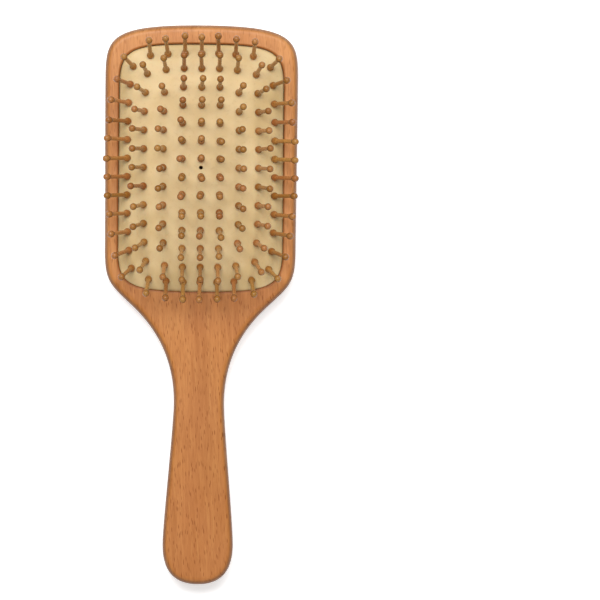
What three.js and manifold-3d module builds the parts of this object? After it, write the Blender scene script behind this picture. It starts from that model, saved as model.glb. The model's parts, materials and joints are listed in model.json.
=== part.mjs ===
// A wooden paddle hairbrush: one beech paddle with a recess in its head, a domed rubber air cushion
// clipped into the recess, and 118 ball-tipped wooden pins that stand through the cushion.
//
// Millimetres. The brush lies on its flat back: +Z is up, out of the pins, +Y runs from the handle
// to the head, and the origin is on the back, in the middle of the length and of the width.

import * as THREE from "three";
import { mergeVertices } from "three/addons/utils/BufferGeometryUtils.js";
import Module from "manifold-3d";

const manifold = await Module();
manifold.setup();

// ---------------------------------------------------------------- driving dimensions

const LENGTH = 245;
const HEAD_HALF_WIDTH = 42.2;
const NECK_HALF_WIDTH = 11;
const GRIP_HALF_WIDTH = 15.4;
const EDGE_ROUNDING = 2.8;

// Thickness of the paddle at the head, at the neck and at the end of the grip.
const HEAD_THICKNESS = 13;
const NECK_THICKNESS = 12.4;
const GRIP_THICKNESS = 11.5;

// The recess in the head, and the undercut in its wall that the cushion's flange clips into.
const RECESS = { centreY: 60, halfWidth: 36.1, halfHeight: 54.3, cornerHeight: 19.3, floor: 4 };
const UNDERCUT = { depth: 2.5, bottom: 7, top: 9.6 };

// The cushion: a rubber skin that swells out of the recess, with a skirt and a flange at its edge.
const SKIN = 1.8;
const FIT_GAP = 0.3;
const DOME_EDGE_Z = 11.6;
const DOME_HEIGHT = 7;
const DOME_ROUNDNESS = 0.2;
const VENT_RADIUS = 0.7;

// One pin, measured along its own axis from the outside of the skin.
const PIN = { length: 18, ballRadius: 1.5, shaftRadius: 0.95, bulgeRadius: 1.5, footRadius: 0.95 };
const HOLE_HALF_WIDTH = 1.7;

// Under the skin the pins of a set stand on one strip, which keeps them from pulling out.
const ROOT = { width: 3, thickness: 1, clearance: 0.8 };

// How far the pins lean outwards, as a slope, across the brush and along it. Each is a straight
// share of the distance from the middle and a cubic one that takes over beside the recess's edge.
const LEAN_ACROSS = { straight: 0.09, cubic: 0.87 };
const LEAN_ALONG = { straight: 0.17, cubic: 0.5 };

// The pin field. Pins stand in nine columns, mirrored about the middle one. A column holds an even
// number of pins about the middle of the cushion or, where it is staggered, an odd number, and two
// more at each end, whose distances from the middle are `ends`. The outermost columns end in one.
const HALF_COLUMNS = [
  { x: 0, pitch: 7.8, staggered: false, ends: [43.2, 49.7] },
  { x: 8.2, pitch: 7.8, staggered: false, ends: [43.2, 49.7] },
  { x: 16.5, pitch: 8.2, staggered: true, ends: [42.6, 49.4] },
  { x: 24.9, pitch: 8.15, staggered: true, ends: [40.8, 48.7] },
  { x: 31.9, pitch: 8.05, staggered: false, ends: [44] },
];
const END_NARROWING = 0.15;

// ---------------------------------------------------------------- solids and meshes

const PIN_SIDES = 6;
const PIN_TURN = Math.PI / 12;
const LOOP_POINTS = 36;

const BEECH = new THREE.MeshStandardMaterial({ color: 0xd39660, roughness: 0.5, metalness: 0 });
const RUBBER = new THREE.MeshStandardMaterial({ color: 0xe2cd9c, roughness: 0.6, metalness: 0 });
const PIN_WOOD = new THREE.MeshStandardMaterial({ color: 0xa66f40, roughness: 0.45, metalness: 0 });

function solidOf(geometry) {
  const bare = geometry.clone();
  bare.deleteAttribute("normal");
  bare.deleteAttribute("uv");
  const merged = mergeVertices(bare);
  return new manifold.Manifold(
    new manifold.Mesh({
      numProp: 3,
      vertProperties: merged.attributes.position.array,
      triVerts: new Uint32Array(merged.index.array),
    }),
  );
}

function meshOf(name, solid, material) {
  const { vertProperties, triVerts } = solid.getMesh();
  const geometry = new THREE.BufferGeometry();
  geometry.setAttribute("position", new THREE.BufferAttribute(vertProperties, 3));
  geometry.setIndex(new THREE.BufferAttribute(triVerts, 1));
  geometry.computeVertexNormals();
  const mesh = new THREE.Mesh(geometry, material);
  mesh.name = name;
  return mesh;
}

// A closed surface through loops of equally many points, with a single point at each end.
function skinLoops(firstPoint, loops, lastPoint) {
  const count = loops[0].length;
  const positions = [firstPoint, ...loops.flat(), lastPoint].flatMap((p) => [p.x, p.y, p.z]);
  const last = 1 + count * loops.length;
  const index = [];
  for (let i = 0; i < count; i++) {
    const j = (i + 1) % count;
    index.push(0, 1 + i, 1 + j);
    for (let ring = 0; ring < loops.length - 1; ring++) {
      const a = 1 + ring * count;
      const b = a + count;
      index.push(a + i, b + i, b + j, a + i, b + j, a + j);
    }
    const edge = last - count;
    index.push(last, edge + j, edge + i);
  }
  const geometry = new THREE.BufferGeometry();
  geometry.setAttribute("position", new THREE.Float32BufferAttribute(positions, 3));
  geometry.setIndex(index);
  return geometry;
}

// ---------------------------------------------------------------- the paddle

// The outline's right half from the top of the head down to the end of the grip. Each step is a
// Bezier curve: two control points and an end point.
function paddleOutline() {
  const top = LENGTH / 2;
  const head = HEAD_HALF_WIDTH;
  const side = head - 0.4;
  const neck = NECK_HALF_WIDTH;
  const grip = GRIP_HALF_WIDTH;
  const rightHalf = [
    [head, top, head, top - 6.4, head, 97.6],
    [head, 72, side, 49, side, 24.4],
    [side, 9.5, 39.5, 8.7, 28.9, -1.3],
    [16.1, -13.5, neck, -27.6, neck, -43],
    [neck, -52.6, grip, -95.9, grip, -104.9],
    [grip, -118.1, 9.1, -top, 0, -top],
  ];
  const outline = new THREE.Shape();
  outline.moveTo(0, top);
  for (const curve of rightHalf) outline.bezierCurveTo(...curve);
  // The left half is the same curves, mirrored and run backwards.
  const starts = [[0, top], ...rightHalf.map((curve) => curve.slice(4))];
  for (let i = rightHalf.length - 1; i >= 0; i--) {
    const [c1x, c1y, c2x, c2y] = rightHalf[i];
    const [endX, endY] = starts[i];
    outline.bezierCurveTo(-c2x, c2y, -c1x, c1y, -endX, endY);
  }
  return outline;
}

// The paddle is thickest at the head and thins smoothly along the handle; its back stays flat.
function thicknessAt(y) {
  const toNeck = THREE.MathUtils.smoothstep(-y, 0, 42);
  const toGrip = THREE.MathUtils.smoothstep(-y, 42, LENGTH / 2);
  return THREE.MathUtils.lerp(HEAD_THICKNESS, NECK_THICKNESS, toNeck) +
    (GRIP_THICKNESS - NECK_THICKNESS) * toGrip;
}

// The recess's outline, grown by `grow`, as points about its own centre.
function recessLoop(grow) {
  const halfWidth = RECESS.halfWidth + grow;
  const halfHeight = RECESS.halfHeight + grow;
  const squareness = 0.88;
  const sideY = halfHeight - RECESS.cornerHeight;
  const cornerY = halfHeight - (1 - squareness) * RECESS.cornerHeight;
  const outline = new THREE.Shape();
  outline.moveTo(halfWidth, -sideY);
  outline.lineTo(halfWidth, sideY);
  outline.bezierCurveTo(halfWidth, cornerY, squareness * halfWidth, halfHeight, 0, halfHeight);
  outline.bezierCurveTo(-squareness * halfWidth, halfHeight, -halfWidth, cornerY, -halfWidth, sideY);
  outline.lineTo(-halfWidth, -sideY);
  outline.bezierCurveTo(-halfWidth, -cornerY, -squareness * halfWidth, -halfHeight, 0, -halfHeight);
  outline.bezierCurveTo(squareness * halfWidth, -halfHeight, halfWidth, -cornerY, halfWidth, -sideY);
  return outline.getSpacedPoints(LOOP_POINTS).slice(0, LOOP_POINTS);
}

function recessCutter(grow, bottom, top) {
  const prism = new THREE.ExtrudeGeometry(new THREE.Shape(recessLoop(grow)), {
    depth: top - bottom,
    bevelEnabled: false,
  });
  return solidOf(prism.translate(0, RECESS.centreY, bottom));
}

function makePaddle() {
  const blank = new THREE.ExtrudeGeometry(paddleOutline(), {
    depth: HEAD_THICKNESS - 2 * EDGE_ROUNDING,
    curveSegments: 8,
    bevelSize: EDGE_ROUNDING,
    bevelOffset: -EDGE_ROUNDING,
    bevelThickness: EDGE_ROUNDING,
    bevelSegments: 3,
  }).translate(0, 0, EDGE_ROUNDING);
  const position = blank.attributes.position;
  for (let i = 0; i < position.count; i++) {
    position.setZ(i, (position.getZ(i) * thicknessAt(position.getY(i))) / HEAD_THICKNESS);
  }
  const paddle = solidOf(blank)
    .subtract(recessCutter(0, RECESS.floor, HEAD_THICKNESS + 1))
    .subtract(recessCutter(UNDERCUT.depth, UNDERCUT.bottom, UNDERCUT.top));
  return meshOf("wooden_paddle", paddle, BEECH);
}

// ---------------------------------------------------------------- the cushion

// How far the dome has risen, from 0 at the recess's edge to 1 in the middle, along one axis.
function rise(t) {
  return 1 - DOME_ROUNDNESS * t ** 2 - (1 - DOME_ROUNDNESS) * t ** 4;
}

// Height of the outside of the skin over a point measured from the middle of the cushion.
function domeZ(x, y) {
  return DOME_EDGE_Z + DOME_HEIGHT * rise(x / RECESS.halfWidth) * rise(y / RECESS.halfHeight);
}

function cushionShell() {
  const at = (loop, z) => loop.map((p) => new THREE.Vector3(p.x, p.y, z));
  const dome = (loop, scale, drop) =>
    loop.map((p) => {
      const x = p.x * scale;
      const y = p.y * scale;
      return new THREE.Vector3(x, y, domeZ(x, y) - drop);
    });
  const ringScales = [0.3, 0.55, 0.75, 0.9, 1];
  const outside = recessLoop(-FIT_GAP);
  const inside = recessLoop(-FIT_GAP - SKIN);
  const lip = recessLoop(UNDERCUT.depth - FIT_GAP);
  const flangeTop = UNDERCUT.top - FIT_GAP;
  const flangeBottom = UNDERCUT.bottom + FIT_GAP;
  const crown = new THREE.Vector3(0, 0, domeZ(0, 0));
  const ceiling = new THREE.Vector3(0, 0, domeZ(0, 0) - SKIN);
  return skinLoops(
    crown,
    [
      ...ringScales.map((scale) => dome(outside, scale, 0)),
      at(outside, flangeTop),
      at(lip, flangeTop),
      at(lip, flangeBottom),
      at(inside, flangeBottom),
      ...ringScales.toReversed().map((scale) => dome(inside, scale, SKIN)),
    ],
    ceiling,
  );
}

function makeCushion(pins) {
  const ventDepth = 3 * SKIN;
  const vent = new THREE.CylinderGeometry(VENT_RADIUS, VENT_RADIUS, ventDepth, 8)
    .rotateX(Math.PI / 2)
    .translate(0, 0, domeZ(0, 0));
  let cushion = solidOf(cushionShell()).subtract(solidOf(vent));
  for (const pin of pins) {
    const width = 2 * HOLE_HALF_WIDTH;
    const hole = new THREE.BoxGeometry(width, width, 4 * SKIN).applyMatrix4(pin.placement);
    cushion = cushion.subtract(solidOf(hole));
  }
  return meshOf("air_cushion", cushion, RUBBER);
}

// ---------------------------------------------------------------- the pins

// Where a pin stands and how it leans: outwards, and most of all beside the recess's edge.
function pinAt(columnX, y) {
  const v = y / RECESS.halfHeight;
  const x = columnX * (1 - END_NARROWING * v ** 4);
  const u = x / RECESS.halfWidth;
  const leanX = (LEAN_ACROSS.straight * u + LEAN_ACROSS.cubic * u ** 3) * (1 - 0.85 * Math.abs(v) ** 2.3);
  const leanY = (LEAN_ALONG.straight * v * (1 - u ** 2) + LEAN_ALONG.cubic * v ** 3) * (1 - 0.3 * u ** 4);
  const axis = new THREE.Vector3(leanX, leanY, 1).normalize();
  const base = new THREE.Vector3(x, y, domeZ(x, y));
  const turn = new THREE.Quaternion().setFromUnitVectors(new THREE.Vector3(0, 0, 1), axis);
  const placement = new THREE.Matrix4().compose(base, turn, new THREE.Vector3(1, 1, 1));
  return { base, axis, placement };
}

// Distances of one column's pins from the middle of the cushion, from the handle's end upwards.
function columnRows({ pitch, staggered, ends }) {
  const steps = staggered ? [1, 2, 3, 4] : [0.5, 1.5, 2.5, 3.5, 4.5];
  const upper = [...steps.map((step) => step * pitch), ...ends];
  const middle = staggered ? [0] : [];
  return [...upper.map((y) => -y).reverse(), ...middle, ...upper];
}

const ROOT_DEPTH = SKIN + ROOT.clearance;

function pinSolid(pin) {
  const ballZ = PIN.length - PIN.ballRadius;
  const footZ = -ROOT_DEPTH - 0.6 * ROOT.thickness;
  const profile = [
    [0, footZ],
    [PIN.footRadius, footZ],
    [PIN.bulgeRadius, 1],
    [PIN.shaftRadius + 0.05, 2.5],
    [PIN.shaftRadius, ballZ - 1.4],
    [PIN.ballRadius, ballZ - 0.5],
    [PIN.ballRadius, ballZ + 0.6],
    [0, PIN.length],
  ].map(([radius, z]) => new THREE.Vector2(radius, z));
  const lathe = new THREE.LatheGeometry(profile, PIN_SIDES, PIN_TURN).rotateX(Math.PI / 2);
  return solidOf(lathe.applyMatrix4(pin.placement));
}

// The strip under the skin that carries the pins of one set.
function rootStrip(pins) {
  const first = pins[0];
  const last = pins[pins.length - 1];
  const depth = ROOT_DEPTH + 0.5 * ROOT.thickness;
  const from = first.base.clone().addScaledVector(first.axis, -depth);
  const to = last.base.clone().addScaledVector(last.axis, -depth);
  const run = to.clone().sub(from);
  const along = run.clone().normalize();
  const across = first.axis.clone().add(last.axis).cross(along).normalize();
  const up = along.clone().cross(across);
  const frame = new THREE.Matrix4().makeBasis(along, across, up);
  frame.setPosition(from.add(to).multiplyScalar(0.5));
  const strip = new THREE.BoxGeometry(run.length() + ROOT.width, ROOT.width, ROOT.thickness);
  return solidOf(strip.applyMatrix4(frame));
}

// A column's two pins at each end make a set. Between them, pins go in twos, or in threes where
// the column has an odd number.
function splitIntoSets(pins) {
  const perSet = pins.length % 2 ? 3 : 2;
  const sets = [pins.slice(0, 2)];
  for (let i = 2; i < pins.length - 2; i += perSet) sets.push(pins.slice(i, i + perSet));
  return [...sets, pins.slice(-2)];
}

function makePinSet(name, pins) {
  const set = pins.reduce((solid, pin) => solid.add(pinSolid(pin)), rootStrip(pins));
  return meshOf(name, set, PIN_WOOD);
}

// ---------------------------------------------------------------- assembly

const columns = [...HALF_COLUMNS.slice(1).reverse().map((c) => ({ ...c, x: -c.x })), ...HALF_COLUMNS];
const pinColumns = columns.map((column) => columnRows(column).map((y) => pinAt(column.x, y)));

// The cushion and its pins are made about the middle of the recess, and placed with it.
const head = new THREE.Group();
head.position.set(0, RECESS.centreY, 0);
head.add(makeCushion(pinColumns.flat()));
pinColumns.forEach((pins, column) => {
  splitIntoSets(pins).forEach((set, number) => {
    head.add(makePinSet(`pins_column${column + 1}_set${number + 1}`, set));
  });
});

const brush = new THREE.Group();
brush.add(makePaddle(), head);

export default brush;
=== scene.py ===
"""Looks of a wooden paddle hairbrush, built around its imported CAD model.

The brush lies on its back with the pins up (+Z) and its head towards +Y. Sizes are in millimetres
in this script and become metres as each mesh is made.
"""

import json
import math
import random

import bmesh
import bpy
import numpy as np
from mathutils import Matrix, Vector, noise
from mathutils.geometry import delaunay_2d_cdt


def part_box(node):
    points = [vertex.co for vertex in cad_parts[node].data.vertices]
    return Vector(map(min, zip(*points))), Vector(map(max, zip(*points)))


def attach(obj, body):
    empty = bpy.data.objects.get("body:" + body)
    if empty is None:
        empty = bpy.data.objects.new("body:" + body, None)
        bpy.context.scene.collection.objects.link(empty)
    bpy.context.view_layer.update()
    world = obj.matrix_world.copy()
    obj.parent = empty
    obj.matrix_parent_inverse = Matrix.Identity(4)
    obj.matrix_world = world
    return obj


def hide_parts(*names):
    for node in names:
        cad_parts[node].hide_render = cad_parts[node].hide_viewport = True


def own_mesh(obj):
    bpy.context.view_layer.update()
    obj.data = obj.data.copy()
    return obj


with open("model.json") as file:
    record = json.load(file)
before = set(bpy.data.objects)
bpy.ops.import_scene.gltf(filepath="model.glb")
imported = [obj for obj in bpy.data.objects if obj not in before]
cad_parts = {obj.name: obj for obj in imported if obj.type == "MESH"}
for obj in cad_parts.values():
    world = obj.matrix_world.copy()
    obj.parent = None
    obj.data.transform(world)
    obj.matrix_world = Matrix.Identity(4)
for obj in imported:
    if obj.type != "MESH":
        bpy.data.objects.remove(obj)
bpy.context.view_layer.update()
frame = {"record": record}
MM = 0.001


def cad_size(node):
    """Lowest and highest corner of a CAD node, in millimetres."""
    low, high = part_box(node)
    return [c / MM for c in low], [c / MM for c in high]


# ---------------------------------------------------------------- sizes

# Most are as in the CAD model. Here the skin is thinner, the vent wider, the holes round and the gap
# at the cushion's edge narrower than there.

PADDLE_LOW, PADDLE_HIGH = cad_size("wooden_paddle")
CUSHION_LOW, CUSHION_HIGH = cad_size("air_cushion")

TOP_Y = PADDLE_HIGH[1]
HEAD_HALF_WIDTH = PADDLE_HIGH[0]
SIDE_HALF_WIDTH = HEAD_HALF_WIDTH - 0.4
NECK_Y = -42.0
NECK_HALF_WIDTH = 11.0
GRIP_HALF_WIDTH = 15.4
HEAD_THICKNESS = PADDLE_HIGH[2]
NECK_THICKNESS = 12.4
GRIP_THICKNESS = 11.5
EDGE_ROUNDING = 2.8

RECESS_Y = (CUSHION_LOW[1] + CUSHION_HIGH[1]) / 2
RECESS_HALF_WIDTH = 36.1
RECESS_HALF_HEIGHT = 54.3
CORNER_HEIGHT = 19.3
RECESS_FLOOR = 4.0
UNDERCUT = {"depth": 2.5, "bottom": 7.0, "top": 9.6}
LIP_ROUNDING = 0.6

SKIN = 1.6
SKIRT_WIDTH = 1.9
FIT_GAP = 0.3
EDGE_GAP = 0.05
DOME_EDGE_Z = 11.6
DOME_HEIGHT = 7.0
DOME_ROUNDNESS = 0.2
VENT_RADIUS = 0.85

HALF_COLUMNS = [
    {"x": 0.0, "pitch": 7.8, "staggered": False, "ends": [43.2, 49.7]},
    {"x": 8.2, "pitch": 7.8, "staggered": False, "ends": [43.2, 49.7]},
    {"x": 16.5, "pitch": 8.2, "staggered": True, "ends": [42.6, 49.4]},
    {"x": 24.9, "pitch": 8.15, "staggered": True, "ends": [40.8, 48.7]},
    {"x": 31.9, "pitch": 8.05, "staggered": False, "ends": [44.0]},
]
END_NARROWING = 0.15
LEAN_ACROSS = {"straight": 0.09, "cubic": 0.87}
LEAN_ALONG = {"straight": 0.17, "cubic": 0.5}
HOLE_RADIUS = 1.2
HOLE_SEGMENTS = 14


# ---------------------------------------------------------------- outlines


def bezier(start, control_1, control_2, end, count=40):
    """Points along a cubic curve, without its last one."""
    t = np.linspace(0, 1, count, endpoint=False)[:, None]
    a, b, c, d = (np.array(p, float) for p in (start, control_1, control_2, end))
    return a * (1 - t) ** 3 + 3 * b * t * (1 - t) ** 2 + 3 * c * t**2 * (1 - t) + d * t**3


def even_loop(points, count):
    """The closed line through points, as count points at even distances."""
    closed = np.vstack([points, points[:1]])
    steps = np.linalg.norm(np.diff(closed, axis=0), axis=1)
    walked = np.concatenate([[0], np.cumsum(steps)])
    at = np.linspace(0, walked[-1], count, endpoint=False)
    return np.column_stack([np.interp(at, walked, closed[:, k]) for k in range(2)])


def inset(loop, distance):
    """An anticlockwise loop moved inwards by a distance."""
    along = np.roll(loop, -1, axis=0) - np.roll(loop, 1, axis=0)
    along /= np.linalg.norm(along, axis=1)[:, None]
    return loop + distance * np.column_stack([-along[:, 1], along[:, 0]])


def paddle_loop(count=560):
    """The paddle's outline, anticlockwise from above."""
    head, side, neck = HEAD_HALF_WIDTH, SIDE_HALF_WIDTH, NECK_HALF_WIDTH
    grip, top = GRIP_HALF_WIDTH, TOP_Y
    curves = [
        ((0, top), (head, top), (head, top - 6.4), (head, 97.6)),
        ((head, 97.6), (head, 72), (side, 49), (side, 24.4)),
        ((side, 24.4), (side, 9.5), (39.5, 8.7), (28.9, -1.3)),
        ((28.9, -1.3), (16.1, -13.5), (neck, -27.6), (neck, -43)),
        ((neck, -43), (neck, -52.6), (grip, -95.9), (grip, -104.9)),
        ((grip, -104.9), (grip, -118.1), (9.1, -top), (0, -top)),
    ]
    right = np.vstack([bezier(*curve) for curve in curves] + [[[0, -top]]])
    left = right[1:-1][::-1] * [-1, 1]
    return even_loop(np.vstack([right, left])[::-1], count)


def recess_loop(grow, count=240):
    """The recess's outline about its own centre, grown by a distance, anticlockwise."""
    w = RECESS_HALF_WIDTH + grow
    h = RECESS_HALF_HEIGHT + grow
    squareness = 0.88
    side = h - CORNER_HEIGHT
    corner = h - (1 - squareness) * CORNER_HEIGHT
    quarter = bezier((w, side), (w, corner), (squareness * w, h), (0, h))
    upper = np.vstack([quarter, [[0, h]], quarter[1:][::-1] * [-1, 1]])
    lower = -upper
    return even_loop(np.vstack([upper, [[-w, side]], lower, [[w, -side]]]), count)


def thickness_at(y):
    """Thickness of the paddle along its length."""
    to_neck = smooth_step(y / NECK_Y)
    to_grip = smooth_step((NECK_Y - y) / (TOP_Y + NECK_Y))
    along = HEAD_THICKNESS + (NECK_THICKNESS - HEAD_THICKNESS) * to_neck
    return along + (GRIP_THICKNESS - NECK_THICKNESS) * to_grip


def smooth_step(t):
    """0 to 1 with no kink at either end."""
    t = np.clip(t, 0, 1)
    return t * t * (3 - 2 * t)


# ---------------------------------------------------------------- meshes


def new_object(name, vertices, faces, material):
    """A smooth-shaded mesh object from points in millimetres."""
    mesh = bpy.data.meshes.new(name)
    mesh.from_pydata([tuple(float(c) * MM for c in v) for v in vertices], [], faces)
    mesh.validate()
    mesh.polygons.foreach_set("use_smooth", [True] * len(mesh.polygons))
    mesh.materials.append(material)
    made = bpy.data.objects.new(name, mesh)
    bpy.context.scene.collection.objects.link(made)
    return made


def face_outwards(piece):
    """Turns every face of a closed mesh to face out."""
    bm = bmesh.new()
    bm.from_mesh(piece.data)
    bmesh.ops.recalc_face_normals(bm, faces=bm.faces)
    bm.to_mesh(piece.data)
    bm.free()


class Surface:
    """Vertices and faces of one mesh, gathered piece by piece."""

    def __init__(self):
        self.vertices = []
        self.faces = []

    def add(self, points):
        """Adds points and returns their numbers."""
        first = len(self.vertices)
        self.vertices.extend(points)
        return list(range(first, len(self.vertices)))

    def wall(self, lower, upper):
        """Quads between two loops of equally many vertices."""
        count = len(lower)
        for i in range(count):
            j = (i + 1) % count
            self.faces.append((lower[i], lower[j], upper[j], upper[i]))

    def sheet(self, outer, holes, inner_points, height):
        """Triangles between an outer loop and holes, each given as (vertex numbers, flat points).

        The loops' vertices exist already; inner_points are new and get their height from height().
        """
        flat = []
        numbers = []
        edges = []
        for ids, points in [outer] + holes:
            first = len(flat)
            count = len(ids)
            flat.extend(Vector((float(p[0]), float(p[1]))) for p in points)
            numbers.extend(ids)
            edges.extend((first + i, first + (i + 1) % count) for i in range(count))
        new = self.add([(p[0], p[1], height(p[0], p[1])) for p in inner_points])
        flat.extend(Vector((float(p[0]), float(p[1]))) for p in inner_points)
        numbers.extend(new)
        out = delaunay_2d_cdt(flat, edges, [], 1, 1e-6, True)
        found = [numbers[ids[0]] for ids in out[3]]
        centre = [sum((out[0][v] for v in face), Vector((0, 0))) / 3 for face in out[2]]
        inside = within(centre, outer[1])
        for _, points in holes:
            inside &= ~within(centre, points)
        for face, kept in zip(out[2], inside):
            if kept:
                self.faces.append(tuple(found[v] for v in face))


def within(points, loop):
    """Which points lie inside a closed loop."""
    p = np.array([(q[0], q[1]) for q in points], float)
    loop = np.array(loop, float)
    result = np.zeros(len(p), bool)
    low, high = loop.min(0), loop.max(0)
    near = np.all((p > low) & (p < high), axis=1)
    q = p[near]
    odd = np.zeros(len(q), bool)
    for (x0, y0), (x1, y1) in zip(loop, np.roll(loop, -1, axis=0)):
        crosses = (y0 > q[:, 1]) != (y1 > q[:, 1])
        if y0 != y1:
            odd ^= crosses & (q[:, 0] < (x1 - x0) * (q[:, 1] - y0) / (y1 - y0) + x0)
    result[near] = odd
    return result


def grid_points(half_width, half_height, step):
    """Points of a triangular grid over a rectangle about the origin."""
    row_height = 0.87
    points = []
    rows = int(half_height / step / row_height)
    for row in range(-rows, rows + 1):
        shift = step / 2 if row % 2 else 0.0
        columns = int(half_width / step) + 1
        y = row * step * row_height
        points += [(column * step + shift, y) for column in range(-columns, columns)]
    return np.array(points)


def clear_of(points, centres, distance):
    """The points that are further than a distance from every centre."""
    gaps = np.linalg.norm(points[:, None, :] - np.array(centres)[None, :, :2], axis=2)
    return points[gaps.min(axis=1) > distance]


# ---------------------------------------------------------------- materials


class Shader:
    """A material's node tree, with short ways to add to it."""

    def __init__(self, name):
        self.material = bpy.data.materials.new(name)
        self.material.use_nodes = True
        self.tree = self.material.node_tree
        self.principled = self.tree.nodes["Principled BSDF"]

    def add(self, kind, inputs=None, **settings):
        node = self.tree.nodes.new(kind)
        for key, value in settings.items():
            setattr(node, key, value)
        for key, value in (inputs or {}).items():
            self.feed(value, node.inputs[key])
        return node

    def feed(self, value, socket):
        if isinstance(value, bpy.types.NodeSocket):
            self.tree.links.new(value, socket)
        else:
            socket.default_value = value

    def math(self, operation, first, second=0.0, third=0.0):
        inputs = {0: first, 1: second, 2: third}
        return self.add("ShaderNodeMath", inputs, operation=operation).outputs[0]

    def mix(self, share, first, second, blend="MIX"):
        node = self.add("ShaderNodeMix", data_type="RGBA", blend_type=blend)
        self.feed(share, node.inputs[0])
        self.feed(first, node.inputs[6])
        self.feed(second, node.inputs[7])
        return node.outputs[2]

    def steps(self, value, low, high, to_low=0.0, to_high=1.0):
        """Maps a value from one range to another, smoothly and clamped."""
        node = self.add("ShaderNodeMapRange", interpolation_type="SMOOTHSTEP", clamp=True)
        for socket, given in enumerate((value, low, high, to_low, to_high)):
            self.feed(given, node.inputs[socket])
        return node.outputs[0]

    def place(self, scale, turn=0.0, shift=(0.0, 0.0, 0.0), tilt=0.0):
        """Object coordinates in millimetres, turned about Z, tilted about Y and stretched."""
        start = self.add("ShaderNodeTexCoord").outputs["Object"]
        turned = self.add(
            "ShaderNodeMapping",
            {"Vector": start, "Rotation": (0, tilt, turn), "Scale": (1 / MM,) * 3},
        ).outputs[0]
        return self.add(
            "ShaderNodeMapping", {"Vector": turned, "Scale": scale, "Location": shift}
        ).outputs[0]

    def noise(self, vector, detail=2.0, roughness=0.5, distortion=0.0):
        inputs = {
            "Vector": vector,
            "Scale": 1.0,
            "Detail": detail,
            "Roughness": roughness,
            "Distortion": distortion,
        }
        return self.add("ShaderNodeTexNoise", inputs).outputs[0]

    def bump(self, height, strength, distance):
        inputs = {"Height": height, "Strength": strength, "Distance": distance * MM}
        node = self.add("ShaderNodeBump", inputs)
        self.tree.links.new(node.outputs[0], self.principled.inputs["Normal"])


def colour(red, green, blue):
    """An sRGB colour, 0 to 255, as the linear colour that nodes take."""

    def linear(c):
        c /= 255
        return c / 12.92 if c <= 0.04045 else ((c + 0.055) / 1.055) ** 2.4

    return (linear(red), linear(green), linear(blue), 1.0)


def fleck_layer(s, across, along, size, turn, shift):
    """Short dark dashes along the grain: the ends of beech's rays. 1 inside a dash.

    The pattern is flat and tilted about the grain, so that it also runs over the paddle's sides.
    """
    place = s.place((1 / across, 1 / along, 0), turn, shift, tilt=0.7)
    inputs = {"Vector": place, "Scale": 1.0, "Randomness": 1.0}
    cells = s.add("ShaderNodeTexVoronoi", inputs, voronoi_dimensions="2D")
    inside = s.steps(cells.outputs["Distance"], size, size * 0.4)
    split = s.add("ShaderNodeSeparateColor", {"Color": cells.outputs["Color"]})
    strength = s.steps(split.outputs[0], 0.1, 0.9, 0.15, 1.0)
    return s.math("MULTIPLY", inside, strength)


# How far the grain, and the bands on the back, turn from the length of the paddle, in degrees.
GRAIN_TURN = -2.4
BACK_BAND_TURN = -14


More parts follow.
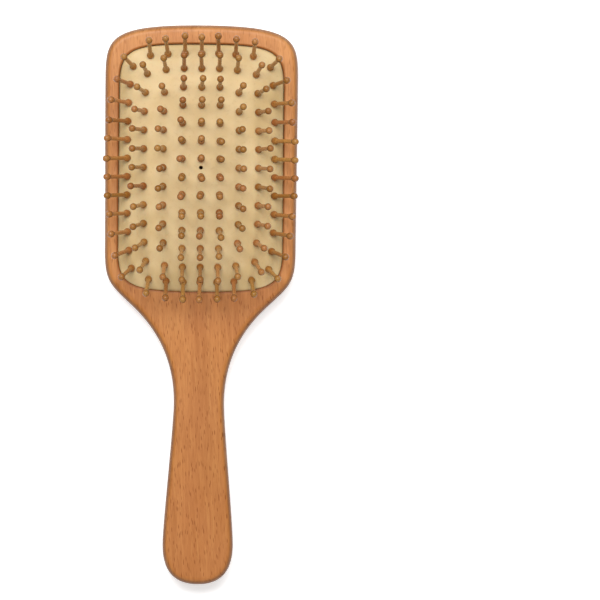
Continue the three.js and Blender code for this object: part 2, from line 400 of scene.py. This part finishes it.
def beech():
    """Lacquered beech, with its grain along the paddle."""
    s = Shader("beech")
    turn = math.radians(GRAIN_TURN)
    # Growth bands are broad and faint; the fibre over them is fine and short.
    bands = s.noise(s.place((1 / 11, 1 / 150, 1 / 9), turn), detail=3.0, distortion=0.6)
    blush = s.noise(s.place((1 / 26, 1 / 60, 1 / 20), turn, (7, 3, 1)), detail=2.0)
    streaks = s.noise(s.place((1 / 1.1, 1 / 16, 1 / 1.1), turn), detail=3.0)
    fibre = s.noise(s.place((1 / 0.4, 1 / 5, 1 / 0.4), turn), detail=2.0)
    base = s.mix(s.steps(bands, 0.32, 0.68), colour(191, 125, 65), colour(204, 138, 76))
    base = s.mix(s.steps(blush, 0.42, 0.7, 0.0, 0.25), base, colour(202, 128, 76))
    base = s.mix(s.steps(streaks, 0.45, 0.72, 0.0, 0.4), base, colour(174, 108, 48))
    base = s.mix(s.steps(streaks, 0.5, 0.28, 0.0, 0.35), base, colour(216, 155, 90))
    base = s.mix(s.steps(fibre, 0.45, 0.75, 0.0, 0.45), base, colour(166, 100, 44))
    # The handle is painted a shade deeper than the head: painted light, for the brighter light over
    # the head end.
    place = s.add("ShaderNodeSeparateXYZ", {0: s.add("ShaderNodeTexCoord").outputs["Object"]})
    handle = s.steps(place.outputs[1], 0.03, 0.0)
    base = s.mix(handle, base, (0.89, 0.82, 0.73, 1.0), "MULTIPLY")
    flecks = s.math(
        "MAXIMUM",
        fleck_layer(s, 1.15, 10.0, 0.15, turn, (0.3, 0.7, 0.2)),
        fleck_layer(s, 0.95, 8.0, 0.16, turn, (5.1, 2.3, 4.4)),
    )
    fleck_share = s.math("MULTIPLY", flecks, s.math("MULTIPLY_ADD", handle, 0.3, 0.45))
    base = s.mix(fleck_share, base, colour(130, 62, 0))
    # Rounded edges and sides are painted darker than the flats: painted shade, for faces that turn
    # away from the lamps above.
    facing = s.add("ShaderNodeSeparateXYZ", {0: s.add("ShaderNodeTexCoord").outputs["Normal"]})
    # On the back the growth bands are bolder and lean further over.
    back = s.steps(facing.outputs[2], -0.5, -0.95)
    back_turn = math.radians(BACK_BAND_TURN)
    slant = s.noise(s.place((1 / 8, 1 / 120, 1 / 8), back_turn, (2, 5, 3)), detail=2.0)
    pale = s.math("MULTIPLY", back, s.steps(slant, 0.5, 0.62))
    deep = s.math("MULTIPLY", back, s.steps(slant, 0.5, 0.38))
    base = s.mix(pale, base, (1.09, 1.13, 1.2, 1.0), "MULTIPLY")
    base = s.mix(deep, base, (0.93, 0.86, 0.76, 1.0), "MULTIPLY")
    # Painted shade: the further a face turns from flat, the darker it is coloured, first on the
    # rounded edges and most on the sides.
    level = s.math("ABSOLUTE", facing.outputs[2])
    base = s.mix(s.steps(level, 0.99, 0.7), base, (0.6, 0.66, 0.92, 1.0), "MULTIPLY")
    base = s.mix(s.steps(level, 0.75, 0.1), base, (0.62, 0.6, 0.64, 1.0), "MULTIPLY")
    # Painted shade: the lip and the recess wall are coloured dark brown, for the shade down in the
    # opening's crevice.
    lip = s.add("ShaderNodeAttribute", attribute_name="lip").outputs["Fac"]
    base = s.mix(s.math("MULTIPLY", lip, 0.75), base, colour(146, 84, 28))
    s.feed(base, s.principled.inputs["Base Color"])
    rough = s.steps(s.noise(s.place((0.12, 0.05, 0.12)), detail=3.0), 0.3, 0.7, 0.38, 0.48)
    s.feed(s.math("ADD", rough, s.math("MULTIPLY", flecks, 0.1)), s.principled.inputs["Roughness"])
    s.principled.inputs["Specular IOR Level"].default_value = 0.3
    s.principled.inputs["Coat Weight"].default_value = 0.08
    s.principled.inputs["Coat Roughness"].default_value = 0.32
    height = s.math("SUBTRACT", s.math("MULTIPLY", fibre, 0.25), flecks)
    s.bump(height, 0.35, 0.05)
    return s.material


def rubber():
    """Cream rubber, matte and a little cloudy."""
    s = Shader("cream_rubber")
    cloud = s.noise(s.place((1 / 16, 1 / 16, 1 / 16)), detail=3.0)
    grain = s.noise(s.place((1 / 0.35,) * 3), detail=3.0, roughness=0.7)
    dust = s.noise(s.place((1 / 1.4,) * 3, shift=(3, 1, 2)), detail=2.0)
    base = s.mix(s.steps(cloud, 0.35, 0.65), colour(209, 181, 128), colour(220, 194, 144))
    base = s.mix(s.steps(dust, 0.55, 0.8, 0.0, 0.3), base, colour(188, 156, 104))
    s.feed(base, s.principled.inputs["Base Color"])
    s.feed(s.steps(grain, 0.3, 0.7, 0.5, 0.62), s.principled.inputs["Roughness"])
    s.principled.inputs["Specular IOR Level"].default_value = 0.5
    s.principled.inputs["Subsurface Weight"].default_value = 0.25
    s.principled.inputs["Subsurface Radius"].default_value = (0.003, 0.002, 0.0012)
    s.principled.inputs["Subsurface Scale"].default_value = 1.0
    s.bump(grain, 0.25, 0.05)
    return s.material


def pin_wood():
    """Stained wood, of a tone of its own on every pin."""
    s = Shader("pin_wood")
    tone = s.add("ShaderNodeAttribute", attribute_name="tone").outputs["Fac"]
    tint = s.add("ShaderNodeAttribute", attribute_name="tint").outputs["Fac"]
    fibre = s.noise(s.place((1 / 0.45, 1 / 0.45, 1 / 5)), detail=3.0)
    speck = s.noise(s.place((1 / 0.3,) * 3), detail=2.0)
    ball = s.add("ShaderNodeAttribute", attribute_name="ball").outputs["Fac"]
    golden = s.mix(tone, colour(156, 106, 40), colour(188, 138, 68))
    reddish = s.mix(tone, colour(158, 94, 42), colour(192, 126, 74))
    base = s.mix(tint, golden, reddish)
    base = s.mix(s.steps(fibre, 0.4, 0.75, 0.0, 0.4), base, colour(126, 70, 24))
    base = s.mix(s.steps(speck, 0.62, 0.8, 0.0, 0.4), base, colour(108, 60, 22))
    # Painted shade at the foot, where the pin stands in the rubber. The ball tip is painted darker
    # than the shaft, so that the upturned ball, which catches more light, does not outshine the
    # near-upright shaft; its sides are painted darkest of all.
    foot = s.add("ShaderNodeAttribute", attribute_name="foot").outputs["Fac"]
    base = s.mix(s.math("MULTIPLY", foot, 0.35), base, colour(120, 62, 24))
    base = s.mix(s.math("MULTIPLY", ball, 0.3), base, colour(112, 70, 28))
    # Painted shade: the ball's sides, turned away from the light above, are darkened towards a deep
    # brown.
    facing = s.add("ShaderNodeSeparateXYZ", {0: s.add("ShaderNodeTexCoord").outputs["Normal"]})
    sides = s.math("MULTIPLY", ball, s.steps(facing.outputs[2], 0.7, 0.2, 0.0, 0.75))
    base = s.mix(sides, base, colour(100, 46, 2))
    s.feed(base, s.principled.inputs["Base Color"])
    s.feed(s.steps(speck, 0.3, 0.7, 0.2, 0.28), s.principled.inputs["Roughness"])
    s.principled.inputs["Specular IOR Level"].default_value = 0.36
    s.bump(fibre, 0.25, 0.05)
    return s.material


def floor_material():
    s = Shader("pale_floor")
    mottle = s.noise(s.place((1 / 40,) * 3), detail=4.0)
    base = s.mix(mottle, colour(250, 250, 250), colour(254, 254, 254))
    s.feed(base, s.principled.inputs["Base Color"])
    s.principled.inputs["Roughness"].default_value = 0.9
    s.principled.inputs["Specular IOR Level"].default_value = 0.1
    s.principled.inputs["Emission Color"].default_value = (1.0, 1.0, 1.0, 1.0)
    s.principled.inputs["Emission Strength"].default_value = 0.45
    return s.material


# ---------------------------------------------------------------- the paddle


def make_paddle(material):
    """The paddle: rounded edges, a rounded lip, and a recess with an undercut in its wall."""
    surface = Surface()
    outline = paddle_loop()
    arc = [math.radians(a) for a in np.linspace(0, 90, 9)]
    flat_margin = 0.5
    lip_margin = 0.25
    grid_step = 6.0

    def level(distance, from_top):
        """One loop around the paddle, that far in from the outline and below its top."""
        loop = inset(outline, distance)
        z = thickness_at(outline[:, 1]) - from_top
        return surface.add([(x, y, h) for (x, y), h in zip(loop, z)]), loop

    def base_level(distance, z):
        """One loop around the paddle, that far in from the outline and at a height."""
        loop = inset(outline, distance)
        return surface.add([(x, y, z) for x, y in loop]), loop

    rounding = EDGE_ROUNDING
    under = [base_level(rounding + flat_margin, 0.0)]
    under += [base_level(rounding * (1 - math.sin(a)), rounding * (1 - math.cos(a))) for a in arc]
    over = [level(rounding * (1 - math.cos(a)), rounding * (1 - math.sin(a))) for a in arc]
    over += [level(rounding + flat_margin, 0.0)]
    levels = under + over
    for (lower, _), (upper, _) in zip(levels, levels[1:]):
        surface.wall(lower, upper)

    def recess_level(grow, z):
        """One loop around the recess, that far outside its outline and at a height."""
        loop = recess_loop(grow) + [0, RECESS_Y]
        return surface.add([(x, y, z) for x, y in loop]), loop

    lip = LIP_ROUNDING
    recess = [recess_level(lip + lip_margin, HEAD_THICKNESS)]
    lip_start = len(surface.vertices)
    recess += [
        recess_level(lip * (1 - math.sin(a)), HEAD_THICKNESS - lip * (1 - math.cos(a)))
        for a in arc[::2]
    ]
    recess += [
        recess_level(0, UNDERCUT["top"]),
        recess_level(UNDERCUT["depth"], UNDERCUT["top"]),
        recess_level(UNDERCUT["depth"], UNDERCUT["bottom"]),
        recess_level(0, UNDERCUT["bottom"]),
        recess_level(0, RECESS_FLOOR),
    ]
    for (lower, _), (upper, _) in zip(recess, recess[1:]):
        surface.wall(lower, upper)
    lip_end = len(surface.vertices)

    grid = grid_points(HEAD_HALF_WIDTH, TOP_Y, grid_step)
    in_paddle = grid[within(grid, inset(outline, rounding + grid_step / 2))]
    around = in_paddle[~within(in_paddle, recess_loop(grid_step / 2) + [0, RECESS_Y])]
    in_recess = in_paddle[within(in_paddle, recess_loop(-grid_step / 2) + [0, RECESS_Y])]
    surface.sheet(over[-1], [recess[0]], around, lambda x, y: float(thickness_at(y)))
    surface.sheet(under[0], [], in_paddle, lambda x, y: 0.0)
    surface.sheet(recess[-1], [], in_recess, lambda x, y: RECESS_FLOOR)

    paddle = new_object("beech_paddle", surface.vertices, surface.faces, material)
    face_outwards(paddle)
    # Marks the lip and the recess wall, which beech() colours with painted shade.
    in_lip = [float(lip_start <= v < lip_end) for v in range(len(surface.vertices))]
    paddle.data.attributes.new("lip", "FLOAT", "POINT").data.foreach_set("value", in_lip)
    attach(paddle, "paddle")
    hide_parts("wooden_paddle")


# ---------------------------------------------------------------- the pin field


def rise(t):
    """Height of the dome across one direction: 1 at its middle, 0 at its edge."""
    return 1 - DOME_ROUNDNESS * t**2 - (1 - DOME_ROUNDNESS) * t**4


def dome_z(x, y):
    """Height of the outside of the cushion's skin, from the middle of the cushion."""
    across = rise(x / RECESS_HALF_WIDTH)
    along = rise(y / RECESS_HALF_HEIGHT)
    return DOME_EDGE_Z + DOME_HEIGHT * across * along


def dome_normal(x, y):
    """Direction straight out of the dome."""
    step = 0.05
    slope_x = (dome_z(x + step, y) - dome_z(x - step, y)) / (2 * step)
    slope_y = (dome_z(x, y + step) - dome_z(x, y - step)) / (2 * step)
    return Vector((-slope_x, -slope_y, 1)).normalized()


def pin_at(column_x, y):
    """Where a pin stands, from the middle of the cushion, and its axis."""
    v = y / RECESS_HALF_HEIGHT
    x = column_x * (1 - END_NARROWING * v**4)
    u = x / RECESS_HALF_WIDTH
    lean_x = LEAN_ACROSS["straight"] * u + LEAN_ACROSS["cubic"] * u**3
    lean_y = LEAN_ALONG["straight"] * v * (1 - u**2) + LEAN_ALONG["cubic"] * v**3
    lean_x *= 1 - 0.85 * abs(v) ** 2.3
    lean_y *= 1 - 0.3 * u**4
    return Vector((x, y, dome_z(x, y))), Vector((lean_x, lean_y, 1)).normalized()


def column_rows(column):
    """Where the pins of a column stand along it, from the middle of the cushion."""
    steps = [1, 2, 3, 4] if column["staggered"] else [0.5, 1.5, 2.5, 3.5, 4.5]
    upper = [step * column["pitch"] for step in steps] + column["ends"]
    middle = [0.0] if column["staggered"] else []
    return [-y for y in reversed(upper)] + middle + upper


def split_into_sets(rows):
    """The rows of a column in twos, or in threes between its ends if their number is odd."""
    per_set = 3 if len(rows) % 2 else 2
    middle = [rows[i : i + per_set] for i in range(2, len(rows) - 2, per_set)]
    return [rows[:2]] + middle + [rows[-2:]]


COLUMNS = [{**c, "x": -c["x"]} for c in reversed(HALF_COLUMNS[1:])] + HALF_COLUMNS

# From the root under the rubber to the tip: (radius, height over the skin).
PIN_PROFILE = [
    (1.9, -3.0),
    (1.9, -2.2),
    (1.15, -2.0),
    (1.12, -0.3),
    (1.38, 0.05),
    (1.56, 0.55),
    (1.6, 1.0),
    (1.52, 1.5),
    (1.22, 2.0),
    (0.98, 2.45),
    (0.92, 3.1),
    (0.9, 6.0),
    (0.88, 9.5),
    (0.88, 13.2),
    (1.02, 14.3),
    (1.2, 14.85),
    (1.42, 15.4),
    (1.53, 16.1),
    (1.47, 16.8),
    (1.2, 17.45),
    (0.72, 17.86),
    (0.3, 17.97),
]
PIN_TOP = 18.0
# The ball begins above one height and the foot ends below another.
BALL_START = 14.6
FOOT_END = 2.1
PIN_SEGMENTS = 14

# Slopes: how far single pins stray, at most, and how far those in the middle sag to the handle.
STRAY = 0.02
MOST_STRAY = 0.04
SAG = 0.03


def add_pin(surface, base, axis, turn):
    """One turned pin about its axis, closed at both ends."""
    to_axis = Vector((0, 0, 1)).rotation_difference(axis).to_matrix().to_4x4()
    matrix = Matrix.Translation(base) @ to_axis @ Matrix.Rotation(turn, 4, "Z")
    angles = [2 * math.pi * k / PIN_SEGMENTS for k in range(PIN_SEGMENTS)]
    rings = [
        surface.add([matrix @ Vector((r * math.cos(a), r * math.sin(a), z)) for a in angles])
        for r, z in PIN_PROFILE
    ]
    for lower, upper in zip(rings, rings[1:]):
        surface.wall(lower, upper)
    root = surface.add([matrix @ Vector((0, 0, PIN_PROFILE[0][1]))])[0]
    tip = surface.add([matrix @ Vector((0, 0, PIN_TOP))])[0]
    for i in range(PIN_SEGMENTS):
        j = (i + 1) % PIN_SEGMENTS
        surface.faces.append((rings[0][j], rings[0][i], root))
        surface.faces.append((rings[-1][i], rings[-1][j], tip))


def make_pins(material, chance):
    """All pins, as one piece for each CAD node, riding on that node's body."""
    bodies = frame["record"]["behaviour"]["bodies"]
    body_of_node = {node: body for body, nodes in bodies.items() for node in nodes}
    for number, column in enumerate(COLUMNS, 1):
        for set_number, rows in enumerate(split_into_sets(column_rows(column)), 1):
            node = f"pins_column{number}_set{set_number}"
            surface = Surface()
            tones = []
            tints = []
            balls = []
            feet = []
            for y in rows:
                base, axis = pin_at(column["x"], y)
                # No pin stands quite true, and those in the middle sag a little to the handle.
                stray = Vector((chance.gauss(0, STRAY), chance.gauss(0, STRAY), 0))
                stray = Vector([max(-MOST_STRAY, min(MOST_STRAY, c)) for c in stray])
                stray.y -= SAG * (1 - (y / RECESS_HALF_HEIGHT) ** 2)
                before = len(surface.vertices)
                add_pin(
                    surface,
                    base + Vector((0, RECESS_Y, 0)),
                    (axis + stray).normalized(),
                    chance.uniform(0, math.tau),
                )
                count = len(surface.vertices) - before
                tones += [chance.uniform(0.1, 1.0)] * count
                tints += [chance.uniform(0, 1) ** 1.3] * count
                # The last two vertices of a pin are the middles of its root and of its tip.
                heights = [z for _, z in PIN_PROFILE for _ in range(PIN_SEGMENTS)]
                balls += [float(z > BALL_START) for z in heights] + [0.0, 1.0]
                feet += [float(z < FOOT_END) for z in heights] + [1.0, 0.0]
            pins = new_object(f"ball_tipped_{node}", surface.vertices, surface.faces, material)
            shades = {"tone": tones, "tint": tints, "ball": balls, "foot": feet}
            for name, values in shades.items():
                attribute = pins.data.attributes.new(name, "FLOAT", "POINT")
                attribute.data.foreach_set("value", values)
            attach(pins, body_of_node[node])
            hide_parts(node)


# ---------------------------------------------------------------- the cushion


def make_cushion(material):
    """The hollow rubber cushion, with a hole for each pin and one vent."""
    surface = Surface()
    dimple_depth, dimple_radius = 0.15, 2.0
    uneven_height, uneven_length = 0.12, 13
    stands = [pin_at(c["x"], y) for c in COLUMNS for y in column_rows(c)]
    bases = np.array([base[:] for base, _ in stands])

    def skin_z(x, y):
        """The dome, drawn in a little around each pin and never quite even."""
        gap = float(np.sqrt((bases[:, 0] - x) ** 2 + (bases[:, 1] - y) ** 2).min())
        dimple = dimple_depth * math.exp(-((gap / dimple_radius) ** 2))
        spot = Vector((x / uneven_length, y / uneven_length, 0.5))
        unevenness = uneven_height * noise.noise(spot)
        return dome_z(x, y) - dimple + unevenness

    def over(points):
        return surface.add([(x, y, skin_z(x, y)) for x, y in points])

    # Outside of the skin: rings about the edge and about each hole, and a grid between them.
    edge_rings = [recess_loop(-EDGE_GAP - d) for d in (0.0, 0.15, 0.5, 1.2)]
    # The edge is tucked deeper into the recess at the top of the head than at the handle.
    drops = (0.5, 0.24, 0.06, 0.0)
    outer = []
    for loop, drop in zip(edge_rings, drops):
        depths = drop * (1 + 0.9 * loop[:, 1] / RECESS_HALF_HEIGHT)
        outer.append(surface.add([(x, y, skin_z(x, y) - d) for (x, y), d in zip(loop, depths)]))
    for lower, upper in zip(outer, outer[1:]):
        surface.wall(lower, upper)

    turns = [math.tau * k / HOLE_SEGMENTS for k in range(HOLE_SEGMENTS)]
    circle = [(math.cos(turn), math.sin(turn)) for turn in turns]
    hole_sizes = [(base, HOLE_RADIUS) for base, _ in stands] + [(Vector((0, 0, 0)), VENT_RADIUS)]
    mouths = []
    rims = []
    for base, radius in hole_sizes:
        rings = []
        for wider in (0.0, 0.35, 0.9):
            reach = radius + wider
            loop = np.array([(base[0] + reach * c, base[1] + reach * s) for c, s in circle])
            rings.append((over(loop), loop))
        for (lower, _), (upper, _) in zip(rings, rings[1:]):
            surface.wall(lower, upper)
        mouths.append(rings[0])
        rims.append(rings[-1])
    centres = np.array([base[:2] for base, _ in hole_sizes])
    grid = grid_points(RECESS_HALF_WIDTH, RECESS_HALF_HEIGHT, 1.5)
    grid = grid[within(grid, inset(edge_rings[-1], 0.8))]
    grid = clear_of(grid, centres, HOLE_RADIUS + 1.5)
    surface.sheet((outer[-1], edge_rings[-1]), rims, grid, skin_z)

    # Inside of the skin, and the wall of each hole.
    def under(x, y):
        """The point of the skin's inside that faces a point of its outside."""
        normal = dome_normal(x, y)
        return (x - SKIN * normal.x, y - SKIN * normal.y, dome_z(x, y) - SKIN * normal.z)

    inner_edge = recess_loop(-FIT_GAP - SKIRT_WIDTH)
    inner_ids = surface.add([(x, y, dome_z(x, y) - 1.25 * SKIN) for x, y in inner_edge])
    floors = []
    for (ids, loop), (base, radius) in zip(mouths, hole_sizes):
        sunk = [under(x, y) for x, y in loop]
        flat = np.array([(p[0], p[1]) for p in sunk])
        lower = surface.add(sunk)
        surface.wall(ids, lower)
        floors.append((lower, flat))
    coarse = grid_points(RECESS_HALF_WIDTH, RECESS_HALF_HEIGHT, 3.2)
    coarse = coarse[within(coarse, inset(inner_edge, 1.5))]
    floor_centres = [flat.mean(axis=0) for _, flat in floors]
    coarse = clear_of(coarse, floor_centres, HOLE_RADIUS + 1.2)
    surface.sheet((inner_ids, inner_edge), floors, coarse, lambda x, y: dome_z(x, y) - SKIN)

    # The skirt and the flange that is clipped into the paddle's undercut.
    def level(grow, z):
        return surface.add([(x, y, z) for x, y in recess_loop(grow)])

    flange_top = UNDERCUT["top"] - FIT_GAP
    flange_bottom = UNDERCUT["bottom"] + FIT_GAP
    lip = UNDERCUT["depth"] - FIT_GAP
    skirt = [
        outer[0],
        level(-EDGE_GAP, flange_top + 0.6),
        level(-FIT_GAP, flange_top),
        level(lip, flange_top),
        level(lip, flange_bottom),
        level(-FIT_GAP - SKIRT_WIDTH, flange_bottom),
        inner_ids,
    ]
    for lower, upper in zip(skirt, skirt[1:]):
        surface.wall(lower, upper)

    placed = [(x, y + RECESS_Y, z) for x, y, z in surface.vertices]
    cushion = new_object("rubber_cushion", placed, surface.faces, material)
    face_outwards(cushion)
    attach(cushion, "paddle")
    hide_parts("air_cushion")
    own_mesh(cushion)


# ---------------------------------------------------------------- the stage


def make_floor():
    """One wide flat sheet, just under the brush's back."""
    surface = Surface()
    half, count, z = 2200.0, 24, -0.02
    at = np.linspace(-half, half, count)
    ids = [surface.add([(x, y, z) for x in at]) for y in at]
    for near, far in zip(ids, ids[1:]):
        for i in range(count - 1):
            surface.faces.append((near[i], near[i + 1], far[i + 1], far[i]))
    floor = new_object("floor", surface.vertices, surface.faces, floor_material())


def area_light(name, place, target, size, power, tint=(1.0, 1.0, 1.0)):
    """A rectangular lamp at a place in metres, aimed at a target."""
    light = bpy.data.lights.new(name, "AREA")
    light.shape = "RECTANGLE"
    light.size, light.size_y = size
    light.energy = power
    light.color = tint
    lamp = bpy.data.objects.new(name, light)
    bpy.context.scene.collection.objects.link(lamp)
    lamp.location = place
    lamp.rotation_euler = (Vector(target) - Vector(place)).to_track_quat("-Z", "Y").to_euler()


def make_lights():
    """Soft lamps: two above the head, one high above the brush and one beyond the handle."""
    middle = (0.0, 0.02, 0.0)
    area_light("key", (-0.06, 0.42, 0.85), (0.0, 0.06, 0.0), (0.9, 0.6), 9.2, (1.0, 0.995, 0.985))
    area_light("definition", (-0.18, 0.4, 0.9), (0.0, 0.06, 0.0), (0.4, 0.35), 1.4)
    area_light("overhead", (0.3, -0.2, 1.5), middle, (1.6, 1.6), 1.9)
    area_light("fill", (0.1, -0.8, 0.75), middle, (1.4, 0.6), 2.6)
    world = bpy.data.worlds.new("studio")
    world.use_nodes = True
    background = world.node_tree.nodes["Background"]
    background.inputs["Color"].default_value = (1.0, 1.0, 1.0, 1.0)
    background.inputs["Strength"].default_value = 0.12
    bpy.context.scene.world = world
    bpy.context.scene.view_settings.view_transform = "Standard"


def make_camera():
    """Straight above the brush, which lies upright at the left of the frame."""
    data = bpy.data.cameras.new("camera")
    camera = bpy.data.objects.new("camera", data)
    bpy.context.scene.collection.objects.link(camera)
    length = (PADDLE_HIGH[1] - PADDLE_LOW[1]) * MM
    frame_share = 0.9325  # of the frame's width, taken up by the brush's length
    distance = 5.0
    plane_z = HEAD_THICKNESS * MM
    data.sensor_width = 36.0
    width = length / frame_share
    data.lens = data.sensor_width * distance / width
    # The brush's middle is left of the frame's middle and a little below it.
    data.shift_x = 0.1671
    data.shift_y = 0.008
    camera.location = (0, 0, plane_z + distance)
    camera.rotation_euler = (0, 0, math.radians(0.5))
    data.clip_start, data.clip_end = 0.05, 20
    bpy.context.scene.camera = camera


# ---------------------------------------------------------------- assembly

make_paddle(beech())
make_cushion(rubber())
make_pins(pin_wood(), random.Random(11))
make_floor()
make_lights()
make_camera()
